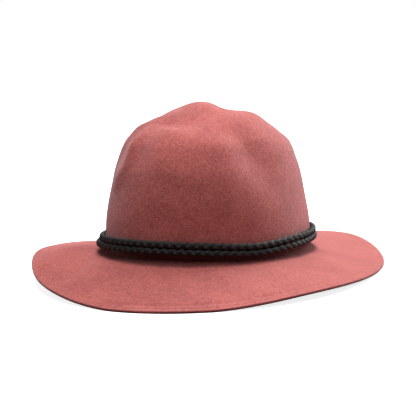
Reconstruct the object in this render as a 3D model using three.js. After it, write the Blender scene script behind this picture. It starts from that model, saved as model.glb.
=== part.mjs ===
// A felt hat: a soft rounded crown with pinched front corners, a wide brim that waves a little,
// and two braided cords round the foot of the crown.
// Millimetres, +Z up. The front of the hat faces -Y and the hat rests on its brim at Z = 0.

import * as THREE from 'three';
import { mergeVertices } from 'three/addons/utils/BufferGeometryUtils.js';

// Driving sizes

const headLength = 200;      // crown foot, front to back, outside
const headWidth = 168;       // crown foot, side to side, outside
const crownHeight = 118;     // tip of the crown above its foot
const crownLean = 4.1;       // degrees that the crown and the foot of the brim lean back
const footLift = 16.5;       // brim's top face at the foot above the floor
const brimWidth = 64.5;      // crown foot to brim edge
const brimWave = 15;         // how far the edge lifts at its highest
const feltThickness = 2.4;
const breakRadius = 7;       // hollow round corner between crown and brim
const restStrip = 3;         // width along the edge that lies flat
const dentDepth = 8;         // deepest dent in the crown
const cordDiameter = 5.3;
const cordRise = 8.7;        // lower cord's middle above the brim's foot
const clearance = 0.3;       // gap between pieces that touch

// Fineness of the faceted surfaces

const roundSteps = 72;
const crownRows = 22;
const breakRows = 3;
const brimRows = 5;
const cordSides = 8;

// The crown's sections. u runs along the wall from the foot to the tip, height is a share of
// crownHeight, side a share of headWidth, front and back shares of headLength.
const crownSections = [
  { u: 0.00, height: 0.00, side: 1.00, front: 1.00, back: 1.00 },
  { u: 0.15, height: 0.17, side: 0.989, front: 1.00, back: 0.965 },
  { u: 0.32, height: 0.38, side: 0.937, front: 0.97, back: 0.90 },
  { u: 0.48, height: 0.58, side: 0.876, front: 0.93, back: 0.81 },
  { u: 0.60, height: 0.74, side: 0.78, front: 0.84, back: 0.72 },
  { u: 0.72, height: 0.86, side: 0.59, front: 0.66, back: 0.57 },
  { u: 0.84, height: 0.94, side: 0.381, front: 0.39, back: 0.40 },
  { u: 0.93, height: 0.985, side: 0.15, front: 0.21, back: 0.15 },
  { u: 1.00, height: 1.00, side: 0.00, front: 0.00, back: 0.00 },
];

// Dents and folds in the crown. azimuth (0 at +X, -90 at the front) and height place the middle,
// tilt turns it from upright in degrees. height and length are shares of crownHeight, width is a
// share of headWidth and depth a share of dentDepth; a negative depth stands out as a soft ridge.
const crownDents = [
  { azimuth: -165, height: 0.68, tilt: 16, length: 0.31, width: 0.063, depth: 1.10 },
  { azimuth: -137, height: 0.66, tilt: 12, length: 0.22, width: 0.054, depth: 0.38 },
  { azimuth: -126, height: 0.85, tilt: 90, length: 0.24, width: 0.034, depth: -0.22 },
  { azimuth: -28, height: 0.64, tilt: -15, length: 0.26, width: 0.13, depth: 0.62 },
  { azimuth: 24, height: 0.978, tilt: 99, length: 0.23, width: 0.084, depth: 0.65 },
  { azimuth: 27, height: 0.86, tilt: 90, length: 0.32, width: 0.065, depth: 0.16 },
  { azimuth: 24, height: 0.79, tilt: 90, length: 0.20, width: 0.040, depth: 0.15 },
  { azimuth: -68, height: 0.985, tilt: 0, length: 0.15, width: 0.105, depth: -0.24 },
  { azimuth: -52, height: 0.83, tilt: 0, length: 0.21, width: 0.34, depth: 0.50 },
  { azimuth: -58, height: 0.42, tilt: 0, length: 0.20, width: 0.42, depth: -0.34 },
];

// The brim's edge all the way round. lift is a share of brimWave above the floor, and reach is a
// share of brimWidth out from the foot. It rests where lift is 0.
const brimEdge = [
  { azimuth: -180, lift: 0.60, reach: 1.03 },
  { azimuth: -150, lift: 1.03, reach: 0.96 },
  { azimuth: -120, lift: 0.49, reach: 1.01 },
  { azimuth: -90, lift: 0.00, reach: 1.06 },
  { azimuth: -60, lift: 0.00, reach: 1.03 },
  { azimuth: -30, lift: 0.34, reach: 1.03 },
  { azimuth: 0, lift: 0.21, reach: 1.00 },
  { azimuth: 30, lift: 0.15, reach: 0.97 },
  { azimuth: 60, lift: 0.40, reach: 1.00 },
  { azimuth: 90, lift: 0.00, reach: 1.03 },
  { azimuth: 120, lift: 0.00, reach: 1.00 },
  { azimuth: 150, lift: 0.00, reach: 0.96 },
];

// The cords' way round the crown. rise moves both cords up from cordRise and stand moves the lower
// one out from the wall, both as shares of cordDiameter.
const cordRoute = [
  { azimuth: -180, rise: -0.30, stand: 0.30 },
  { azimuth: -140, rise: -0.40, stand: 0.45 },
  { azimuth: -110, rise: 0.00, stand: 0.10 },
  { azimuth: -85, rise: 0.15, stand: 0.00 },
  { azimuth: -60, rise: 0.00, stand: 0.00 },
  { azimuth: -35, rise: -0.30, stand: 0.00 },
  { azimuth: -10, rise: 0.20, stand: 0.05 },
  { azimuth: 20, rise: 0.50, stand: 0.10 },
  { azimuth: 80, rise: 0.20, stand: 0.00 },
  { azimuth: 140, rise: 0.00, stand: 0.10 },
];

// Smooth curve through a table's rows. It keeps a soft slope at each row.
function alongTable(rows, key, column, at) {
  const last = rows.length - 1;
  const slopeBetween = (i) => (rows[i + 1][column] - rows[i][column]) / (rows[i + 1][key] - rows[i][key]);
  const slopeAt = (i) => {
    if (i === 0) {
      return slopeBetween(0);
    }
    if (i === last) {
      return slopeBetween(last - 1);
    }
    const before = rows[i][key] - rows[i - 1][key];
    const after = rows[i + 1][key] - rows[i][key];
    return (slopeBetween(i - 1) * after + slopeBetween(i) * before) / (before + after);
  };
  let i = 0;
  while (i < last - 1 && at >= rows[i + 1][key]) {
    i += 1;
  }
  const span = rows[i + 1][key] - rows[i][key];
  const t = (at - rows[i][key]) / span;
  const fromStart = (2 * t ** 3 - 3 * t ** 2 + 1) * rows[i][column];
  const fromEnd = (3 * t ** 2 - 2 * t ** 3) * rows[i + 1][column];
  const startSlope = (t ** 3 - 2 * t ** 2 + t) * span * slopeAt(i);
  const endSlope = (t ** 3 - t ** 2) * span * slopeAt(i + 1);
  return fromStart + fromEnd + startSlope + endSlope;
}

// A table that goes all the way round, at an angle. Its curve joins up at the back.
function roundTable(rows, column, angle) {
  const turned = (row, turn) => ({ ...row, azimuth: row.azimuth + turn });
  const joined = [
    ...rows.slice(-2).map((row) => turned(row, -360)),
    ...rows,
    ...rows.slice(0, 2).map((row) => turned(row, 360)),
  ];
  const degrees = THREE.MathUtils.euclideanModulo(THREE.MathUtils.radToDeg(angle) + 180, 360) - 180;
  return alongTable(joined, 'azimuth', column, degrees);
}

function edgeAt(angle) {
  return {
    lift: Math.max(0, roundTable(brimEdge, 'lift', angle)) * brimWave,
    reach: roundTable(brimEdge, 'reach', angle) * brimWidth,
  };
}

// The crown without dents, standing upright on its foot.
function plainCrown(u, angle) {
  const across = Math.cos(angle);
  const along = Math.sin(angle);
  const ends = alongTable(crownSections, 'u', along < 0 ? 'front' : 'back', u);
  const sides = alongTable(crownSections, 'u', 'side', u);
  const share = across ** 2 * sides + along ** 2 * ends;
  return new THREE.Vector3(
    (headWidth / 2) * share * across,
    (headLength / 2) * share * along,
    crownHeight * alongTable(crownSections, 'u', 'height', u),
  );
}

// Unit directions on the plain crown: up the wall, round it, and out of it.
const smallStep = 1e-3;
function crownDirections(u, angle) {
  const up = plainCrown(u + smallStep, angle).sub(plainCrown(u - smallStep, angle)).normalize();
  const round = plainCrown(u, angle + smallStep).sub(plainCrown(u, angle - smallStep)).normalize();
  const out = round.clone().cross(up).normalize();
  return { up, round, out };
}

// u of the crown's wall at a share of its height.
function wallAt(heightShare) {
  let low = 0;
  let high = 1;
  while (high - low > smallStep) {
    const middle = (low + high) / 2;
    if (alongTable(crownSections, 'u', 'height', middle) < heightShare) {
      low = middle;
    } else {
      high = middle;
    }
  }
  return (low + high) / 2;
}

const placedDents = crownDents.map((dent) => {
  const angle = THREE.MathUtils.degToRad(dent.azimuth);
  const tilt = THREE.MathUtils.degToRad(dent.tilt);
  const u = wallAt(dent.height);
  const { up, round, out } = crownDirections(u, angle);
  return {
    middle: plainCrown(u, angle),
    lengthways: up.clone().multiplyScalar(Math.cos(tilt)).addScaledVector(round, Math.sin(tilt)),
    widthways: round.clone().multiplyScalar(Math.cos(tilt)).addScaledVector(up, -Math.sin(tilt)),
    inwards: out.clone().negate(),
    length: dent.length * crownHeight,
    width: dent.width * headWidth,
    depth: dent.depth * dentDepth,
  };
});

// How deep all the dents together press the wall in at a point.
const depthFade = 0.6;
function dentAt(point) {
  let depth = 0;
  for (const dent of placedDents) {
    const from = point.clone().sub(dent.middle);
    const a = from.dot(dent.lengthways) / dent.length;
    const b = from.dot(dent.widthways) / dent.width;
    const c = from.dot(dent.inwards) / Math.max(dent.length, dent.width);
    depth += dent.depth * Math.exp(-(a * a + b * b + depthFade * c * c));
  }
  return depth;
}

// Leans a point back about the X axis and lifts it to the foot's height.
const leanTurn = new THREE.Matrix4().makeRotationX(-THREE.MathUtils.degToRad(crownLean));
function leaned(point) {
  const moved = point.applyMatrix4(leanTurn);
  moved.z += footLift;
  return moved;
}

// Top of the foot ring, where crown and brim meet.
function footAt(angle) {
  return leaned(plainCrown(0, angle));
}

// Outer face of the crown. Near the tip the wall faces straight up.
const tipShare = 0.995;
function crownAt(u, angle) {
  const point = plainCrown(u, angle);
  const out = u > tipShare ? new THREE.Vector3(0, 0, 1) : crownDirections(u, angle).out;
  const moved = leaned(point.addScaledVector(out, -dentAt(point)));
  moved.z += breakRadius;
  return moved;
}

// Top face of the brim, distance outwards from the foot as a share of the way to the edge.
function brimAt(share, angle) {
  const foot = footAt(angle);
  const edge = edgeAt(angle);
  const edgeX = (headWidth / 2 + edge.reach) * Math.cos(angle);
  const edgeY = (headLength / 2 + edge.reach) * Math.sin(angle);
  const slopeShare = Math.min(1, share / (1 - restStrip / edge.reach));
  const edgeTop = edge.lift + feltThickness;
  const nearFoot = Math.max(0, 1 - (share * edge.reach) / breakRadius);
  const fillet = breakRadius * (1 - Math.sqrt(1 - nearFoot ** 2));
  return new THREE.Vector3(
    THREE.MathUtils.lerp(foot.x, edgeX, share),
    THREE.MathUtils.lerp(foot.y, edgeY, share),
    THREE.MathUtils.lerp(foot.z, edgeTop, slopeShare) + fillet,
  );
}

// One closed felt shell, crown and brim together

// Rings of the top face from the row below the tip down to the brim's edge.
function topRings() {
  const rings = [];
  const addRing = (pointAt) => {
    rings.push(Array.from({ length: roundSteps }, (_, j) => pointAt((j / roundSteps) * 2 * Math.PI)));
  };
  for (let i = 1; i <= crownRows; i += 1) {
    addRing((angle) => crownAt(1 - i / crownRows, angle));
  }
  for (let i = 1; i <= breakRows; i += 1) {
    const turn = (i / breakRows) * (Math.PI / 2);
    const out = breakRadius * (1 - Math.cos(turn));
    addRing((angle) => brimAt(out / edgeAt(angle).reach, angle));
  }
  for (let i = 1; i <= brimRows; i += 1) {
    addRing((angle) => {
      const reach = edgeAt(angle).reach;
      const start = breakRadius / reach;
      const stop = 1 - restStrip / reach;
      return brimAt(THREE.MathUtils.lerp(start, stop, i / brimRows), angle);
    });
  }
  addRing((angle) => brimAt(1, angle));
  return rings;
}

// The face below a set of rings, one felt thickness in from it. The outer strip is level below.
function undersideOf(rings, tip) {
  const last = rings.length - 1;
  return rings.map((ring, i) => ring.map((point, j) => {
    if (i >= last - 1) {
      return point.clone().setZ(point.z - feltThickness);
    }
    const before = ring[(j + roundSteps - 1) % roundSteps];
    const after = ring[(j + 1) % roundSteps];
    const above = i === 0 ? tip : rings[i - 1][j];
    const below = rings[i + 1][j];
    const round = after.clone().sub(before);
    const up = above.clone().sub(below);
    const out = round.cross(up).normalize();
    return point.clone().addScaledVector(out, -feltThickness);
  }));
}

function closedSkin(points, triangles) {
  const geometry = new THREE.BufferGeometry();
  const positions = points.flatMap((point) => [point.x, point.y, point.z]);
  geometry.setAttribute('position', new THREE.Float32BufferAttribute(positions, 3));
  geometry.setIndex(triangles);
  return mergeVertices(geometry);
}

function feltShell() {
  const tip = crownAt(1, 0);
  const outside = topRings();
  const inside = undersideOf(outside, tip);
  const innerTip = tip.clone().setZ(tip.z - feltThickness);
  // Down the outside, round the edge and up the inside.
  const rings = [...outside, ...inside.reverse()];
  const points = [tip, ...rings.flat(), innerTip];
  const at = (i, j) => 1 + i * roundSteps + (j % roundSteps);
  const triangles = [];
  for (let j = 0; j < roundSteps; j += 1) {
    triangles.push(0, at(0, j), at(0, j + 1));
    triangles.push(points.length - 1, at(rings.length - 1, j + 1), at(rings.length - 1, j));
    for (let i = 0; i < rings.length - 1; i += 1) {
      triangles.push(at(i, j), at(i + 1, j), at(i + 1, j + 1));
      triangles.push(at(i, j), at(i + 1, j + 1), at(i, j + 1));
    }
  }
  return closedSkin(points, triangles);
}

// Cords, each a closed loop that lies against the crown

// Middle of a cord at an angle. The upper cord lies on the wall and on the lower one.
function cordMiddle(isUpper, angle) {
  const pitch = cordDiameter + clearance;
  const rise = cordRise + roundTable(cordRoute, 'rise', angle) * cordDiameter;
  const standing = isUpper ? 0 : roundTable(cordRoute, 'stand', angle) * cordDiameter;
  const drop = pitch - Math.sqrt(pitch ** 2 - standing ** 2);
  const height = isUpper ? rise + pitch : rise + drop;
  const u = Math.max(0, wallAt((height - breakRadius) / crownHeight));
  const wall = crownAt(u, angle);
  const out = crownDirections(u, angle).out.transformDirection(leanTurn);
  return wall.addScaledVector(out, cordDiameter / 2 + clearance + standing);
}

function cordLoop(isUpper) {
  const loop = Array.from({ length: roundSteps }, (_, j) => (
    cordMiddle(isUpper, (j / roundSteps) * 2 * Math.PI)
  ));
  const points = [];
  const triangles = [];
  const at = (j, k) => (j % roundSteps) * cordSides + (k % cordSides);
  for (let j = 0; j < roundSteps; j += 1) {
    const before = loop[(j + roundSteps - 1) % roundSteps];
    const after = loop[(j + 1) % roundSteps];
    const along = after.clone().sub(before).normalize();
    const outwards = along.clone().cross(new THREE.Vector3(0, 0, 1)).normalize();
    const upwards = outwards.clone().cross(along);
    for (let k = 0; k < cordSides; k += 1) {
      const turn = ((k + 0.5) / cordSides) * 2 * Math.PI;
      points.push(loop[j].clone()
        .addScaledVector(outwards, (cordDiameter / 2) * Math.cos(turn))
        .addScaledVector(upwards, (cordDiameter / 2) * Math.sin(turn)));
      triangles.push(at(j, k), at(j + 1, k), at(j + 1, k + 1));
      triangles.push(at(j, k), at(j + 1, k + 1), at(j, k + 1));
    }
  }
  return closedSkin(points, triangles);
}

// Materials and pieces

const felt = new THREE.MeshStandardMaterial({ color: 0xc0706b, roughness: 0.95, metalness: 0 });
const braid = new THREE.MeshStandardMaterial({ color: 0x1b191a, roughness: 0.7, metalness: 0 });

function piece(name, geometry, material) {
  const mesh = new THREE.Mesh(geometry, material);
  mesh.name = name;
  return mesh;
}

const hat = new THREE.Group();
hat.add(piece('felt_body', feltShell(), felt));
hat.add(piece('cord_lower', cordLoop(false), braid));
hat.add(piece('cord_upper', cordLoop(true), braid));

export default hat;
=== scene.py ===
"""A soft felt hat with two braided cords round the foot of its crown, on a pale floor.

Metres, +Z up. The front of the hat faces -Y and +X is the wearer's left. Angles round the hat are 0
at +X and -90 degrees at the front.
"""
import math

import bpy
import numpy as np
from mathutils import Matrix, Vector, noise


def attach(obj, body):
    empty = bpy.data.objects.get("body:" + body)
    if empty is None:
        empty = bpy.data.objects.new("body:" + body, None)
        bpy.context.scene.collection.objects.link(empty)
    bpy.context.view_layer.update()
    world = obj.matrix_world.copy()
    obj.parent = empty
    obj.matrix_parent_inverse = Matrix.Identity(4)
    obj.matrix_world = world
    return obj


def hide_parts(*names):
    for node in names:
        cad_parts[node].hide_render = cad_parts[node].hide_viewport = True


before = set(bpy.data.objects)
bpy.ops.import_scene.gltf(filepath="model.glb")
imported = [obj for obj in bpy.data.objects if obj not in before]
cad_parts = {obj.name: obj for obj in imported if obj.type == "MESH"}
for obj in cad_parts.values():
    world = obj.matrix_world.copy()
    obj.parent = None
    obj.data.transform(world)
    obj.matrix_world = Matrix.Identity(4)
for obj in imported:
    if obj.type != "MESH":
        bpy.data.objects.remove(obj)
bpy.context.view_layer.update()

# Camera
# A camera a metre in front of the hat, a little to the wearer's left and just above the brim. Its
# long lens keeps the hat's proportions true, and it leans by less than two degrees.

camera_azimuth = math.radians(27.0)
camera_elevation = math.radians(9.34)
camera_roll = math.radians(-1.66)
camera_distance = 1.050
camera_aim = Vector((-0.0002, -0.0001, 0.05105))
sensor_width = 36.0
focal_length = 106.3

away = Vector((
    math.sin(camera_azimuth) * math.cos(camera_elevation),
    -math.cos(camera_azimuth) * math.cos(camera_elevation),
    math.sin(camera_elevation),
))
level_right = Vector((math.cos(camera_azimuth), math.sin(camera_azimuth), 0.0))
level_up = away.cross(level_right)
right = level_right * math.cos(camera_roll) + level_up * math.sin(camera_roll)
up = away.cross(right)
camera_data = bpy.data.cameras.new("camera")
camera_data.sensor_width = sensor_width
camera_data.lens = focal_length
camera = bpy.data.objects.new("camera", camera_data)
bpy.context.scene.collection.objects.link(camera)
camera.matrix_world = (Matrix.Translation(camera_aim + away * camera_distance)
                       @ Matrix((right, up, away)).transposed().to_4x4())
bpy.context.scene.camera = camera

# Felt body
# One piece of wool felt, blocked into a round crown and a flat brim. The crown has been dented by
# hand, and a shallow groove runs round the brim near its cut edge.

head_length = 0.200
head_width = 0.168
crown_height = 0.118
crown_lean = math.radians(4.1)
foot_lift = 0.0165
brim_width = 0.0645
brim_wave = 0.015
felt_thickness = 0.0024
break_radius = 0.007
rest_strip = 0.003
dent_depth = 0.008

# The crown's sections from its foot to its tip. height is a share of crown_height, side a share of
# head_width, front and back shares of head_length.
crown_sections = [
    dict(u=0.00, height=0.00, side=1.00, front=1.00, back=1.00),
    dict(u=0.15, height=0.17, side=0.989, front=1.00, back=0.965),
    dict(u=0.32, height=0.38, side=0.937, front=0.97, back=0.90),
    dict(u=0.48, height=0.58, side=0.876, front=0.93, back=0.81),
    dict(u=0.60, height=0.74, side=0.78, front=0.84, back=0.72),
    dict(u=0.72, height=0.86, side=0.59, front=0.66, back=0.57),
    dict(u=0.84, height=0.94, side=0.381, front=0.39, back=0.40),
    dict(u=0.93, height=0.985, side=0.15, front=0.21, back=0.15),
    dict(u=1.00, height=1.00, side=0.00, front=0.00, back=0.00),
]

# Dents. azimuth and height place the middle and tilt turns it from upright, in degrees. length is
# a share of crown_height, width of head_width and depth of dent_depth. Less than 0 stands out.
crown_dents = [
    dict(azimuth=-165, height=0.68, tilt=16, length=0.31, width=0.063, depth=1.10),
    dict(azimuth=-137, height=0.66, tilt=12, length=0.22, width=0.054, depth=0.38),
    dict(azimuth=-126, height=0.85, tilt=90, length=0.24, width=0.034, depth=-0.22),
    dict(azimuth=-28, height=0.64, tilt=-15, length=0.26, width=0.13, depth=0.62),
    dict(azimuth=24, height=0.978, tilt=99, length=0.23, width=0.084, depth=0.65),
    dict(azimuth=27, height=0.86, tilt=90, length=0.32, width=0.065, depth=0.16),
    dict(azimuth=24, height=0.79, tilt=90, length=0.20, width=0.040, depth=0.15),
    dict(azimuth=-68, height=0.985, tilt=0, length=0.15, width=0.105, depth=-0.24),
    dict(azimuth=-52, height=0.83, tilt=0, length=0.21, width=0.34, depth=0.50),
    dict(azimuth=-58, height=0.42, tilt=0, length=0.20, width=0.42, depth=-0.34),
]

# Small folds: the pinched ridge and its pocket at the front right corner, and soft rumples.
crown_folds = [
    dict(azimuth=-134, height=0.70, tilt=10, length=0.15, width=0.040, depth=0.30),
    dict(azimuth=-115, height=0.69, tilt=-4, length=0.15, width=0.032, depth=-0.36),
    dict(azimuth=-103, height=0.62, tilt=-10, length=0.16, width=0.060, depth=0.20),
    dict(azimuth=-122, height=0.80, tilt=24, length=0.10, width=0.030, depth=-0.20),
    dict(azimuth=-121, height=0.50, tilt=24, length=0.10, width=0.050, depth=-0.22),
    dict(azimuth=-98, height=0.88, tilt=74, length=0.19, width=0.070, depth=0.46),
    dict(azimuth=-120, height=0.86, tilt=80, length=0.12, width=0.045, depth=0.24),
    dict(azimuth=-52, height=0.74, tilt=64, length=0.16, width=0.055, depth=-0.16),
    dict(azimuth=-22, height=0.78, tilt=58, length=0.12, width=0.050, depth=-0.16),
]

# The brim's edge. lift is a share of brim_wave above the floor, reach a share of brim_width.
brim_edge = [
    dict(azimuth=-180, lift=0.60, reach=1.03),
    dict(azimuth=-150, lift=1.03, reach=0.96),
    dict(azimuth=-120, lift=0.49, reach=1.01),
    dict(azimuth=-90, lift=0.00, reach=1.06),
    dict(azimuth=-60, lift=0.00, reach=1.03),
    dict(azimuth=-30, lift=0.34, reach=1.03),
    dict(azimuth=0, lift=0.21, reach=1.00),
    dict(azimuth=30, lift=0.15, reach=0.97),
    dict(azimuth=60, lift=0.40, reach=1.00),
    dict(azimuth=90, lift=0.00, reach=1.03),
    dict(azimuth=120, lift=0.00, reach=1.00),
    dict(azimuth=150, lift=0.00, reach=0.96),
]

# Soft folds across the brim. x and y place the middle and turn is the fold's way, from +X.
brim_folds = [
    dict(x=-0.102, y=-0.078, turn=96, length=0.046, width=0.015, rise=0.0036),
    dict(x=-0.066, y=-0.102, turn=94, length=0.040, width=0.010, rise=-0.0022),
    dict(x=0.118, y=0.050, turn=60, length=0.040, width=0.012, rise=0.0008),
    dict(x=0.100, y=-0.075, turn=-40, length=0.034, width=0.014, rise=-0.0006),
]

# A shallow groove runs round the brim at this distance in from its edge.
groove_inset = 0.0090
groove_half_width = 0.0013
groove_depth = 0.00050


def along_table(rows, key, column, at):
    """A smooth curve through a table's rows, read at an array of places."""
    keys = np.array([row[key] for row in rows], dtype=float)
    values = np.array([row[column] for row in rows], dtype=float)
    gaps = np.diff(keys)
    rises = np.diff(values) / gaps
    slopes = np.empty_like(values)
    slopes[0] = rises[0]
    slopes[-1] = rises[-1]
    slopes[1:-1] = (rises[:-1] * gaps[1:] + rises[1:] * gaps[:-1]) / (gaps[:-1] + gaps[1:])
    at = np.asarray(at, dtype=float)
    i = np.clip(np.searchsorted(keys, at, side="right") - 1, 0, len(keys) - 2)
    t = (at - keys[i]) / gaps[i]
    from_start = (2 * t**3 - 3 * t**2 + 1) * values[i]
    from_end = (3 * t**2 - 2 * t**3) * values[i + 1]
    start_slope = (t**3 - 2 * t**2 + t) * gaps[i] * slopes[i]
    end_slope = (t**3 - t**2) * gaps[i] * slopes[i + 1]
    return from_start + from_end + start_slope + end_slope


def round_table(rows, column, angle):
    """A table that goes all the way round, read at an array of angles."""
    before = [dict(row, azimuth=row["azimuth"] - 360) for row in rows[-2:]]
    after = [dict(row, azimuth=row["azimuth"] + 360) for row in rows[:2]]
    degrees = (np.degrees(angle) + 180) % 360 - 180
    return along_table(before + rows + after, "azimuth", column, degrees)


shortest_vector = 1e-12


def unit(vectors):
    """The same vectors at length 1."""
    lengths = np.linalg.norm(vectors, axis=-1, keepdims=True)
    return vectors / np.maximum(lengths, shortest_vector)


def plain_crown(u, angle):
    """The crown without dents, upright on its foot."""
    across = np.cos(angle)
    along = np.sin(angle)
    fronts = along_table(crown_sections, "u", "front", u)
    backs = along_table(crown_sections, "u", "back", u)
    sides = along_table(crown_sections, "u", "side", u)
    share = across**2 * sides + along**2 * np.where(along < 0, fronts, backs)
    return np.stack([
        head_width / 2 * share * across,
        head_length / 2 * share * along,
        crown_height * along_table(crown_sections, "u", "height", u) + 0 * angle,
    ], axis=-1)


# The step up the wall, and round it in radians, that a direction is taken over.
small_step = 1e-3


def crown_directions(u, angle):
    """Unit directions up the plain crown, round it and out of it."""
    up_wall = unit(plain_crown(u + small_step, angle) - plain_crown(u - small_step, angle))
    round_wall = unit(plain_crown(u, angle + small_step) - plain_crown(u, angle - small_step))
    return up_wall, round_wall, unit(np.cross(round_wall, up_wall))


wall_samples = 1001
wall_u = np.linspace(0.0, 1.0, wall_samples)
wall_heights = along_table(crown_sections, "u", "height", wall_u)


def wall_at(height_share):
    """u of the crown's wall at a share of its height."""
    return np.interp(height_share, wall_heights, wall_u)


# How fast a dent fades with distance out of its own plane.
depth_fade = 0.6


def dents_at(points):
    """How deep all the dents and folds together press the wall in."""
    depth = np.zeros(points.shape[:-1])
    for dent in crown_dents + crown_folds:
        angle = np.array(math.radians(dent["azimuth"]))
        tilt = math.radians(dent["tilt"])
        u = wall_at(dent["height"])
        up_wall, round_wall, out = crown_directions(u, angle)
        lengthways = up_wall * math.cos(tilt) + round_wall * math.sin(tilt)
        widthways = round_wall * math.cos(tilt) - up_wall * math.sin(tilt)
        length = dent["length"] * crown_height
        width = dent["width"] * head_width
        offset = points - plain_crown(u, angle)
        a = offset @ lengthways / length
        b = offset @ widthways / width
        c = offset @ out / max(length, width)
        depth += dent["depth"] * dent_depth * np.exp(-(a**2 + b**2 + depth_fade * c**2))
    return depth


def leaned(vectors):
    """Vectors leaned back about the X axis."""
    y = vectors[..., 1] * math.cos(crown_lean) + vectors[..., 2] * math.sin(crown_lean)
    z = -vectors[..., 1] * math.sin(crown_lean) + vectors[..., 2] * math.cos(crown_lean)
    return np.stack([vectors[..., 0], y, z], axis=-1)


# From this u up to the tip, dents press straight down.
tip_start = 0.995


def crown_at(u, angle):
    """Outer face of the crown."""
    points = plain_crown(u, angle)
    out = crown_directions(u, angle)[2]
    near_tip = np.asarray(u)[..., None] > tip_start
    out = np.where(near_tip, np.array([0.0, 0.0, 1.0]), out)
    points = points - out * dents_at(points)[..., None]
    return leaned(points) + np.array([0.0, 0.0, foot_lift + break_radius])


def edge_reach(angle):
    """Width of the brim at an array of angles."""
    return round_table(brim_edge, "reach", angle) * brim_width


def brim_at(share, angle):
    """Top face of the brim, at a share of the way from the foot to the edge."""
    foot = leaned(plain_crown(0 * angle, angle)) + np.array([0.0, 0.0, foot_lift])
    reach = edge_reach(angle)
    lift = np.maximum(0, round_table(brim_edge, "lift", angle)) * brim_wave
    edge_x = (head_width / 2 + reach) * np.cos(angle)
    edge_y = (head_length / 2 + reach) * np.sin(angle)
    slope_share = np.minimum(1, share / (1 - rest_strip / reach))
    near_foot = np.maximum(0, 1 - share * reach / break_radius)
    fillet = break_radius * (1 - np.sqrt(1 - near_foot**2))
    return np.stack([
        foot[..., 0] + (edge_x - foot[..., 0]) * share,
        foot[..., 1] + (edge_y - foot[..., 1]) * share,
        foot[..., 2] + (lift + felt_thickness - foot[..., 2]) * slope_share + fillet,
    ], axis=-1)


def brim_fold_rise(points):
    """How far the soft folds lift the brim."""
    rise = np.zeros(points.shape[:-1])
    for fold in brim_folds:
        turn = math.radians(fold["turn"])
        x = points[..., 0] - fold["x"]
        y = points[..., 1] - fold["y"]
        a = (x * math.cos(turn) + y * math.sin(turn)) / fold["length"]
        b = (y * math.cos(turn) - x * math.sin(turn)) / fold["width"]
        rise += fold["rise"] * np.exp(-(a**2 + b**2))
    return rise


def add_node(tree, kind, **settings):
    """A shader node with its own settings, and the values of its named sockets."""
    node = tree.nodes.new(kind)
    for name, value in settings.items():
        socket = name.replace("_", " ").title()
        if socket in node.inputs:
            node.inputs[socket].default_value = value
        else:
            setattr(node, name, value)
    return node


def add_group(name, inputs, outputs):
    """An empty node group with named sockets, and its two end nodes."""
    group = bpy.data.node_groups.new(name, "ShaderNodeTree")
    for socket, kind, value in inputs:
        made = group.interface.new_socket(name=socket, in_out="INPUT", socket_type=kind)
        made.default_value = value
    for socket, kind in outputs:
        group.interface.new_socket(name=socket, in_out="OUTPUT", socket_type=kind)
    return group, group.nodes.new("NodeGroupInput"), group.nodes.new("NodeGroupOutput")


# Sockets of a colour mix node: its two colours and its result.
first_colour = 6
second_colour = 7
mixed_colour = 2

# The felt's deepest and palest hair, on its faces and where it was cut. The cut edge's darker
# colours are partly cut felt's own look and partly painted shade along the brim's edge.
felt_deep = (0.33, 0.074, 0.065, 1.0)
felt_pale = (0.60, 0.158, 0.140, 1.0)
cut_deep = (0.24, 0.050, 0.046, 1.0)
cut_pale = (0.46, 0.115, 0.105, 1.0)

# The hair's pattern. Scales are in details to the metre, and the three shares add up to 1.
fleck_scale = 950.0
tuft_scale = 380.0
dye_scale = 45.0
fleck_share = 0.62
tuft_share = 0.22
dye_share = 0.16
brush_turn = math.radians(32)
brush_stretch = (0.7, 1.0, 1.15)
deepest_at = 0.41
palest_at = 0.59

# Specks of pale lint. Their reach is a share of the gap between them.
lint_scale = 62.0
lint_core = 0.030
lint_reach = 0.042
lint_share = 0.35
lint_colour = (0.85, 0.62, 0.55, 1.0)


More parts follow.
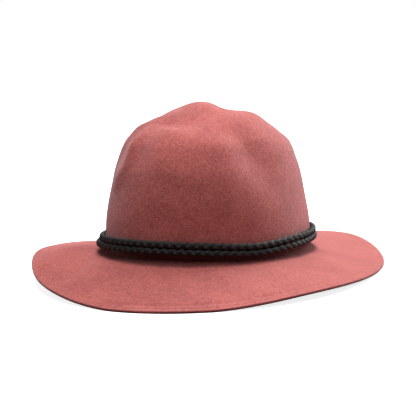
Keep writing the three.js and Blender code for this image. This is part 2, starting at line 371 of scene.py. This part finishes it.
def make_matted_hair():
    """Short matted hair: fine flecks, small tufts, broad uneven dye and specks of lint."""
    group, given, result = add_group(
        "matted_hair",
        [("Fleck Scale", "NodeSocketFloat", fleck_scale),
         ("Tuft Scale", "NodeSocketFloat", tuft_scale),
         ("Dye Scale", "NodeSocketFloat", dye_scale),
         ("Deep Colour", "NodeSocketColor", felt_deep),
         ("Pale Colour", "NodeSocketColor", felt_pale)],
        [("Colour", "NodeSocketColor"), ("Height", "NodeSocketFloat")])
    link = group.links.new
    place = add_node(group, "ShaderNodeTexCoord")
    brushed = add_node(group, "ShaderNodeMapping", rotation=(0.0, brush_turn, 0.0),
                       scale=brush_stretch)
    flecks = add_node(group, "ShaderNodeTexNoise", detail=4.0, roughness=0.75, distortion=0.3)
    tufts = add_node(group, "ShaderNodeTexNoise", detail=2.0, roughness=0.55, distortion=0.5)
    dye = add_node(group, "ShaderNodeTexNoise", detail=2.0, roughness=0.5)
    link(place.outputs["Object"], brushed.inputs["Vector"])
    for texture, scale in ((flecks, "Fleck Scale"), (tufts, "Tuft Scale"), (dye, "Dye Scale")):
        link(brushed.outputs["Vector"], texture.inputs["Vector"])
        link(given.outputs[scale], texture.inputs["Scale"])
    only_flecks = add_node(group, "ShaderNodeMath", operation="MULTIPLY")
    only_flecks.inputs[1].default_value = fleck_share
    with_tufts = add_node(group, "ShaderNodeMath", operation="MULTIPLY_ADD")
    with_tufts.inputs[1].default_value = tuft_share
    with_dye = add_node(group, "ShaderNodeMath", operation="MULTIPLY_ADD")
    with_dye.inputs[1].default_value = dye_share
    link(flecks.outputs["Fac"], only_flecks.inputs[0])
    link(tufts.outputs["Fac"], with_tufts.inputs[0])
    link(only_flecks.outputs[0], with_tufts.inputs[2])
    link(dye.outputs["Fac"], with_dye.inputs[0])
    link(with_tufts.outputs[0], with_dye.inputs[2])
    spread = add_node(group, "ShaderNodeMapRange", from_min=deepest_at, from_max=palest_at)
    link(with_dye.outputs[0], spread.inputs["Value"])
    colour = add_node(group, "ShaderNodeMix", data_type="RGBA")
    link(spread.outputs["Result"], colour.inputs["Factor"])
    link(given.outputs["Deep Colour"], colour.inputs[first_colour])
    link(given.outputs["Pale Colour"], colour.inputs[second_colour])
    lint = add_node(group, "ShaderNodeTexVoronoi", scale=lint_scale)
    lint_spot = add_node(group, "ShaderNodeMapRange", from_min=lint_core, from_max=lint_reach,
                         to_min=lint_share, to_max=0.0)
    with_lint = add_node(group, "ShaderNodeMix", data_type="RGBA")
    with_lint.inputs[second_colour].default_value = lint_colour
    link(place.outputs["Object"], lint.inputs["Vector"])
    link(lint.outputs["Distance"], lint_spot.inputs["Value"])
    link(lint_spot.outputs["Result"], with_lint.inputs["Factor"])
    link(colour.outputs[mixed_colour], with_lint.inputs[first_colour])
    link(with_lint.outputs[mixed_colour], result.inputs["Colour"])
    link(with_tufts.outputs[0], result.inputs["Height"])
    return group


matted_hair = make_matted_hair()

# The painted shadow under the cords reaches this far out from the crown's foot and this high
# over it, and then fades.
cord_shadow_reach = 0.0030
cord_shadow_fade = 0.0036
cord_shadow_full_height = 0.009
cord_shadow_top = 0.013
cord_shadow_strength = 0.8
painted_shadow_colour = (0.045, 0.013, 0.012, 1.0)


def make_cord_shadow_mask():
    """Mask of the painted shadow on the felt at the foot of the crown, under the cords."""
    group, given, result = add_group(
        "cord_shadow_mask",
        [("Cord Reach", "NodeSocketFloat", cord_shadow_reach), ("Fade", "NodeSocketFloat", cord_shadow_fade)],
        [("Mask", "NodeSocketFloat")])
    link = group.links.new
    place = add_node(group, "ShaderNodeTexCoord")
    across = add_node(group, "ShaderNodeVectorMath", operation="MULTIPLY")
    across.inputs[1].default_value = (1.0, head_width / head_length, 0.0)
    reach = add_node(group, "ShaderNodeVectorMath", operation="LENGTH")
    link(place.outputs["Object"], across.inputs[0])
    link(across.outputs[0], reach.inputs[0])
    start = add_node(group, "ShaderNodeMath", operation="ADD")
    start.inputs[1].default_value = head_width / 2
    end = add_node(group, "ShaderNodeMath", operation="ADD")
    link(given.outputs["Cord Reach"], start.inputs[0])
    link(start.outputs[0], end.inputs[0])
    link(given.outputs["Fade"], end.inputs[1])
    outwards = add_node(group, "ShaderNodeMapRange", interpolation_type="SMOOTHSTEP",
                        to_min=1.0, to_max=0.0)
    link(start.outputs[0], outwards.inputs["From Min"])
    link(end.outputs[0], outwards.inputs["From Max"])
    link(reach.outputs["Value"], outwards.inputs["Value"])
    above_foot = add_node(group, "ShaderNodeVectorMath", operation="DOT_PRODUCT")
    above_foot.inputs[1].default_value = (0.0, math.sin(crown_lean), math.cos(crown_lean))
    upwards = add_node(group, "ShaderNodeMapRange", interpolation_type="SMOOTHSTEP",
                       from_min=foot_lift + cord_shadow_full_height, from_max=foot_lift + cord_shadow_top,
                       to_min=1.0, to_max=0.0)
    link(place.outputs["Object"], above_foot.inputs[0])
    link(above_foot.outputs["Value"], upwards.inputs["Value"])
    both = add_node(group, "ShaderNodeMath", operation="MULTIPLY")
    link(outwards.outputs["Result"], both.inputs[0])
    link(upwards.outputs["Result"], both.inputs[1])
    link(both.outputs[0], result.inputs["Mask"])
    return group


cord_shadow_mask = make_cord_shadow_mask()

# The felt's surface. Its bloom is the pale fuzz that shows where it is seen edge on.
hair_height = 0.0011
felt_roughness = 1.0
felt_gloss = 0.1
bloom_roughness = 0.42
bloom_tint = (1.0, 0.80, 0.84, 1.0)


def make_felt_material(name, deep, pale, bump_strength, bloom):
    """Dull wool felt with a pale bloom where it is seen edge on, and painted shadow under the
    cords.
    """
    material = bpy.data.materials.new(name)
    material.use_nodes = True
    tree = material.node_tree
    shader = tree.nodes["Principled BSDF"]
    hair = add_node(tree, "ShaderNodeGroup", node_tree=matted_hair,
                    deep_colour=deep, pale_colour=pale)
    bump = add_node(tree, "ShaderNodeBump", strength=bump_strength, distance=hair_height)
    tree.links.new(hair.outputs["Height"], bump.inputs["Height"])
    # Painted shadow: the felt's colour turns dark round the crown's foot, under the cords.
    ring = add_node(tree, "ShaderNodeGroup", node_tree=cord_shadow_mask)
    cord_shadow_amount = add_node(tree, "ShaderNodeMath", operation="MULTIPLY")
    cord_shadow_amount.inputs[1].default_value = cord_shadow_strength
    with_cord_shadow = add_node(tree, "ShaderNodeMix", data_type="RGBA")
    with_cord_shadow.inputs[second_colour].default_value = painted_shadow_colour
    tree.links.new(ring.outputs["Mask"], cord_shadow_amount.inputs[0])
    tree.links.new(cord_shadow_amount.outputs[0], with_cord_shadow.inputs["Factor"])
    tree.links.new(hair.outputs["Colour"], with_cord_shadow.inputs[first_colour])
    tree.links.new(with_cord_shadow.outputs[mixed_colour], shader.inputs["Base Color"])
    tree.links.new(bump.outputs["Normal"], shader.inputs["Normal"])
    shader.inputs["Roughness"].default_value = felt_roughness
    shader.inputs["Specular IOR Level"].default_value = felt_gloss
    shader.inputs["Sheen Weight"].default_value = bloom
    shader.inputs["Sheen Roughness"].default_value = bloom_roughness
    shader.inputs["Sheen Tint"].default_value = bloom_tint
    return material


felt = make_felt_material("felt", felt_deep, felt_pale, bump_strength=1.0, bloom=0.48)
# The cut edge's darker colours paint shade, in part, along the brim's edge.
cut_felt = make_felt_material("cut_felt", cut_deep, cut_pale, bump_strength=0.9, bloom=0.2)

# The shell's points: steps round it, and rows down the crown, its bend, the brim and the cut edge.
round_steps = 300
crown_rows = 96
break_rows = 8
brim_rows = 44
strip_rows = 2
level_fade_rows = 3
edge_rows = 5
edge_roundness = 0.0012
angles = np.linspace(0.0, 2 * math.pi, round_steps, endpoint=False)

# The soft folds rise over this distance out from the crown's foot, and in from the edge.
fold_start = 0.020
fold_end = 0.012

# The face swells a little all over, in wide swells and narrow ones.
unevenness = (
    dict(size=0.030, height=0.00040),
    dict(size=0.012, height=0.00016),
)


def felt_top_rings():
    """Rings of the felt's outer face, from below the tip down to the edge."""
    rings = [crown_at(np.full(round_steps, 1 - i / crown_rows), angles)
             for i in range(1, crown_rows + 1)]
    reach = edge_reach(angles)
    shares = []
    for i in range(1, break_rows + 1):
        shares.append(break_radius * (1 - math.cos(i / break_rows * math.pi / 2)) / reach)
    start = break_radius / reach
    stop = 1 - rest_strip / reach
    last = 1 - edge_roundness / reach
    for i in range(1, brim_rows + 1):
        shares.append(start + (stop - start) * i / brim_rows)
    for i in range(1, strip_rows + 1):
        shares.append(stop + (last - stop) * i / strip_rows)
    for share in shares:
        ring = brim_at(share, angles)
        from_foot = share * reach
        from_edge = (1 - share) * reach
        fade = np.clip(from_foot / fold_start, 0, 1) * np.clip(from_edge / fold_end, 0, 1)
        ring[..., 2] += brim_fold_rise(ring) * fade
        ring[..., 2] -= groove_depth * np.exp(-((from_edge - groove_inset) / groove_half_width)**2)
        rings.append(ring)
    return np.array(rings)


def grid_normals(rings, tip):
    """Directions out of a grid of rings."""
    above = np.concatenate([np.broadcast_to(tip, rings[:1].shape), rings[:-1]])
    below = np.concatenate([rings[1:], rings[-1:]])
    around = np.roll(rings, -1, axis=1) - np.roll(rings, 1, axis=1)
    return unit(np.cross(around, above - below))


def uneven(points):
    """Small soft unevenness of felt that was shaped by hand."""
    offsets = np.zeros(points.shape[:-1])
    flat = points.reshape(-1, 3)
    for swell in unevenness:
        values = [noise.noise(Vector(point) / swell["size"]) * swell["height"] for point in flat]
        offsets += np.array(values).reshape(offsets.shape)
    return offsets


def ring_faces(rings, steps, closed=False):
    """Quads between rings of points, and round them."""
    faces = []
    for i in range(rings if closed else rings - 1):
        below = (i + 1) % rings
        for j in range(steps):
            k = (j + 1) % steps
            faces.append((i * steps + j, below * steps + j, below * steps + k, i * steps + k))
    return faces


def add_piece(name, points, faces, materials, node):
    """A smooth mesh piece that rides on the hat and stands for a CAD node."""
    mesh = bpy.data.meshes.new(name)
    mesh.from_pydata(points.tolist(), [], faces)
    mesh.polygons.foreach_set("use_smooth", [True] * len(mesh.polygons))
    for material in materials:
        mesh.materials.append(material)
    piece = bpy.data.objects.new(name, mesh)
    bpy.context.scene.collection.objects.link(piece)
    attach(piece, "root")
    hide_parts(node)
    return piece


def make_felt_body():
    """Crown and brim as one shell of even thickness with a rounded cut edge."""
    tip = crown_at(np.array(1.0), np.array(0.0))
    outside = felt_top_rings()
    out = grid_normals(outside, tip)
    # The strip that rests stays level, and the rest of the face varies a little.
    row_share = np.ones(len(outside))
    fading_rows = strip_rows + level_fade_rows
    row_share[-fading_rows:] = np.linspace(1, 0, fading_rows)
    outside = outside + out * (uneven(outside) * row_share[:, None])[..., None]
    inside = outside - out * felt_thickness
    level = slice(len(outside) - strip_rows - 1, None)
    inside[level] = outside[level] - np.array([0.0, 0.0, felt_thickness])
    inside[..., 2] = np.maximum(inside[..., 2], 0.0)
    outwards = unit(outside[-1] - outside[-2])
    middle = (outside[-1] + inside[-1]) / 2
    edge = []
    for i in range(1, edge_rows + 1):
        side = math.pi / 2 - i / (edge_rows + 1) * math.pi
        edge.append(middle + outwards * edge_roundness * math.sqrt(math.cos(side))
                    + np.array([0.0, 0.0, felt_thickness / 2 * math.sin(side)]))
    rings = np.concatenate([outside, np.array(edge), inside[::-1]])
    points = np.concatenate([rings.reshape(-1, 3), [tip], [tip - [0.0, 0.0, felt_thickness]]])
    faces = ring_faces(len(rings), round_steps)
    last = (len(rings) - 1) * round_steps
    outer_tip = len(points) - 2
    inner_tip = len(points) - 1
    for j in range(round_steps):
        k = (j + 1) % round_steps
        faces.append((outer_tip, j, k))
        faces.append((inner_tip, last + k, last + j))
    piece = add_piece("felt_shell", points, faces, [felt, cut_felt], "felt_body")
    # The rounded edge shows cut felt from just under its upper corner down to its lower one.
    first_cut = (len(outside) + 1) * round_steps
    last_cut = (len(outside) + edge_rows) * round_steps
    for face in range(first_cut, last_cut):
        piece.data.polygons[face].material_index = 1


make_felt_body()

# Braided cords
# Two round cords of waxed thread, each plaited from three strands and closed into a loop. They lie
# one on the other against the foot of the crown, and nothing but their own tightness holds them.

cord_diameter = 0.0053
cord_rise = 0.0087
clearance = 0.0002

# The plait: how often it repeats round the hat, its strands, and how far they swing.
plaits_round = 27
steps_a_plait = 26
strand_count = 3
strand_sides = 10
strand_radius = 0.00174
plait_half_width = 0.00108
plait_half_depth = 0.00085
lower_plait_start = 0.0
upper_plait_start = 1.3

# The cords' way round the crown, as shares of cord_diameter: rise up the wall, and how far the
# lower cord stands out from it.
cord_route = [
    dict(azimuth=-180, rise=-0.30, stand=0.30),
    dict(azimuth=-140, rise=-0.40, stand=0.45),
    dict(azimuth=-110, rise=0.00, stand=0.10),
    dict(azimuth=-85, rise=0.15, stand=0.00),
    dict(azimuth=-60, rise=0.00, stand=0.00),
    dict(azimuth=-35, rise=-0.30, stand=0.00),
    dict(azimuth=-10, rise=0.20, stand=0.05),
    dict(azimuth=20, rise=0.50, stand=0.10),
    dict(azimuth=80, rise=0.20, stand=0.00),
    dict(azimuth=140, rise=0.00, stand=0.10),
]

# The waxed thread: its grain, its deepest and palest shade, and its shine.
thread_scale = 1500.0
thread_height = 0.0003
cord_deep = (0.0065, 0.0062, 0.0066, 1.0)
cord_pale = (0.020, 0.0188, 0.0195, 1.0)
cord_deep_at = 0.3
cord_pale_at = 0.7
cord_roughness = 0.62
cord_gloss = 0.30


def make_cord_material():
    """Dark waxed thread with a soft shine and an uneven, fine-grained surface."""
    material = bpy.data.materials.new("cord")
    material.use_nodes = True
    tree = material.node_tree
    shader = tree.nodes["Principled BSDF"]
    place = add_node(tree, "ShaderNodeTexCoord")
    threads = add_node(tree, "ShaderNodeTexNoise", scale=thread_scale, detail=2.0, roughness=0.6)
    tree.links.new(place.outputs["Object"], threads.inputs["Vector"])
    colours = add_node(tree, "ShaderNodeValToRGB")
    deep_end, pale_end = colours.color_ramp.elements
    deep_end.position = cord_deep_at
    deep_end.color = cord_deep
    pale_end.position = cord_pale_at
    pale_end.color = cord_pale
    tree.links.new(threads.outputs["Fac"], colours.inputs["Fac"])
    tree.links.new(colours.outputs["Color"], shader.inputs["Base Color"])
    bump = add_node(tree, "ShaderNodeBump", strength=0.4, distance=thread_height)
    tree.links.new(threads.outputs["Fac"], bump.inputs["Height"])
    tree.links.new(bump.outputs["Normal"], shader.inputs["Normal"])
    shader.inputs["Roughness"].default_value = cord_roughness
    shader.inputs["Specular IOR Level"].default_value = cord_gloss
    return material


cord_material = make_cord_material()


def cord_middle(is_upper, angle):
    """Middle of a cord at an array of angles. The upper cord lies on the lower one."""
    pitch = cord_diameter + clearance
    rise = cord_rise + round_table(cord_route, "rise", angle) * cord_diameter
    stand = np.zeros_like(angle)
    if not is_upper:
        stand = round_table(cord_route, "stand", angle) * cord_diameter
    drop = pitch - np.sqrt(pitch**2 - stand**2)
    height = rise + (pitch if is_upper else drop)
    u = wall_at(np.maximum(0, (height - break_radius) / crown_height))
    out = leaned(crown_directions(u, angle)[2])
    return crown_at(u, angle) + out * (cord_diameter / 2 + clearance + stand)[..., None]


def make_cord(name, is_upper, plait_start, node):
    """Three strands plaited along a cord's loop."""
    steps = plaits_round * steps_a_plait
    angle = np.linspace(0.0, 2 * math.pi, steps, endpoint=False)
    middle = cord_middle(is_upper, angle)
    along = unit(np.roll(middle, -1, axis=0) - np.roll(middle, 1, axis=0))
    outwards = unit(np.cross(along, np.array([0.0, 0.0, 1.0])))
    upwards = np.cross(outwards, along)
    points = []
    faces = []
    for strand in range(strand_count):
        phase = plaits_round * angle + strand * 2 * math.pi / strand_count + plait_start
        path = (middle + upwards * (plait_half_width * np.sin(phase))[:, None]
                + outwards * (plait_half_depth * np.sin(2 * phase))[:, None])
        ahead = unit(np.roll(path, -1, axis=0) - np.roll(path, 1, axis=0))
        side = unit(np.cross(ahead, upwards))
        top = np.cross(side, ahead)
        first = strand * steps * strand_sides
        turns = np.arange(strand_sides) / strand_sides * 2 * math.pi
        ring = (side[:, None] * np.cos(turns)[:, None] + top[:, None] * np.sin(turns)[:, None])
        points.append((path[:, None] + strand_radius * ring).reshape(-1, 3))
        faces += [tuple(first + corner for corner in face)
                  for face in ring_faces(steps, strand_sides, closed=True)]
    add_piece(name, np.concatenate(points), faces, [cord_material], node)


make_cord("braid_lower", False, lower_plait_start, "cord_lower")
make_cord("braid_upper", True, upper_plait_start, "cord_upper")

# Floor
# A wide flat sheet of matt white paper that the brim rests on. It looks white to the eye, with a
# faint shadow under the hat, and sends little light back up.

floor_size = 30.0
floor_white = (0.92, 0.92, 0.92, 1.0)
floor_from_hat = (0.10, 0.10, 0.10, 1.0)

# The floor's glow to the eye rises with distance from the hat's middle.
glow_near_hat = 0.84
glow_far_off = 1.0
shadow_reach = 0.16
shadow_end = 0.60


def make_floor():
    """A wide white floor with a soft shadow under the hat."""
    material = bpy.data.materials.new("floor")
    material.use_nodes = True
    tree = material.node_tree
    tree.nodes.remove(tree.nodes["Principled BSDF"])
    path = add_node(tree, "ShaderNodeLightPath")
    seen = add_node(tree, "ShaderNodeBsdfDiffuse", color=floor_white)
    place = add_node(tree, "ShaderNodeTexCoord")
    from_hat = add_node(tree, "ShaderNodeVectorMath", operation="LENGTH")
    brightening = add_node(tree, "ShaderNodeMapRange", from_min=shadow_reach,
                           from_max=shadow_end, to_min=glow_near_hat, to_max=glow_far_off)
    glow = add_node(tree, "ShaderNodeEmission", color=(1.0, 1.0, 1.0, 1.0))
    tree.links.new(place.outputs["Object"], from_hat.inputs[0])
    tree.links.new(from_hat.outputs["Value"], brightening.inputs["Value"])
    tree.links.new(brightening.outputs["Result"], glow.inputs["Strength"])
    lit = add_node(tree, "ShaderNodeAddShader")
    unseen = add_node(tree, "ShaderNodeBsdfDiffuse", color=floor_from_hat)
    mix = add_node(tree, "ShaderNodeMixShader")
    tree.links.new(seen.outputs[0], lit.inputs[0])
    tree.links.new(glow.outputs[0], lit.inputs[1])
    tree.links.new(path.outputs["Is Camera Ray"], mix.inputs[0])
    tree.links.new(unseen.outputs[0], mix.inputs[1])
    tree.links.new(lit.outputs[0], mix.inputs[2])
    tree.links.new(mix.outputs[0], tree.nodes["Material Output"].inputs["Surface"])
    half = floor_size / 2
    mesh = bpy.data.meshes.new("floor")
    mesh.from_pydata([(-half, -half, 0), (half, -half, 0), (half, half, 0), (-half, half, 0)],
                     [], [(0, 1, 2, 3)])
    mesh.materials.append(material)
    floor = bpy.data.objects.new("floor", mesh)
    bpy.context.scene.collection.objects.link(floor)


make_floor()

# Light
# Soft square lights that all face the hat. Two hang above it, one stands behind it on the wearer's
# left, and three weak ones pick out its edges. Left and right in their names are the camera's.

light_aim = Vector((0.0, 0.0, 0.06))


def add_light(name, place, size, power):
    """A soft square light that faces the hat."""
    data = bpy.data.lights.new(name, "AREA")
    data.shape = "SQUARE"
    data.size = size
    data.energy = power
    light = bpy.data.objects.new(name, data)
    bpy.context.scene.collection.objects.link(light)
    light.location = place
    light.rotation_euler = (light_aim - Vector(place)).to_track_quat("-Z", "Y").to_euler()


add_light("front_top_light", place=(0.24, -0.44, 1.38), size=0.7, power=17.5)
add_light("back_top_light", place=(-0.30, 0.54, 1.34), size=0.8, power=14.0)
add_light("back_right_light", place=(0.56, 1.14, 0.80), size=0.8, power=21.0)
add_light("back_light", place=(-0.78, 1.28, 0.50), size=1.0, power=5.0)
add_light("left_light", place=(-1.15, -0.45, 0.80), size=0.8, power=2.2)
add_light("right_light", place=(1.20, 0.70, 0.55), size=0.8, power=2.0)

# Brightness of the surroundings, as they look and as light on the hat.
white_to_eye = 1.0
light_on_hat = 0.01


def make_world():
    """Surroundings that look white and send a weak even light to the hat."""
    world = bpy.data.worlds.new("world")
    world.use_nodes = True
    tree = world.node_tree
    path = add_node(tree, "ShaderNodeLightPath")
    strength = add_node(tree, "ShaderNodeMapRange", to_min=light_on_hat, to_max=white_to_eye)
    tree.links.new(path.outputs["Is Camera Ray"], strength.inputs["Value"])
    background = tree.nodes["Background"]
    background.inputs["Color"].default_value = (1.0, 1.0, 1.0, 1.0)
    tree.links.new(strength.outputs["Result"], background.inputs["Strength"])
    bpy.context.scene.world = world


make_world()
bpy.context.scene.view_settings.view_transform = "Standard"
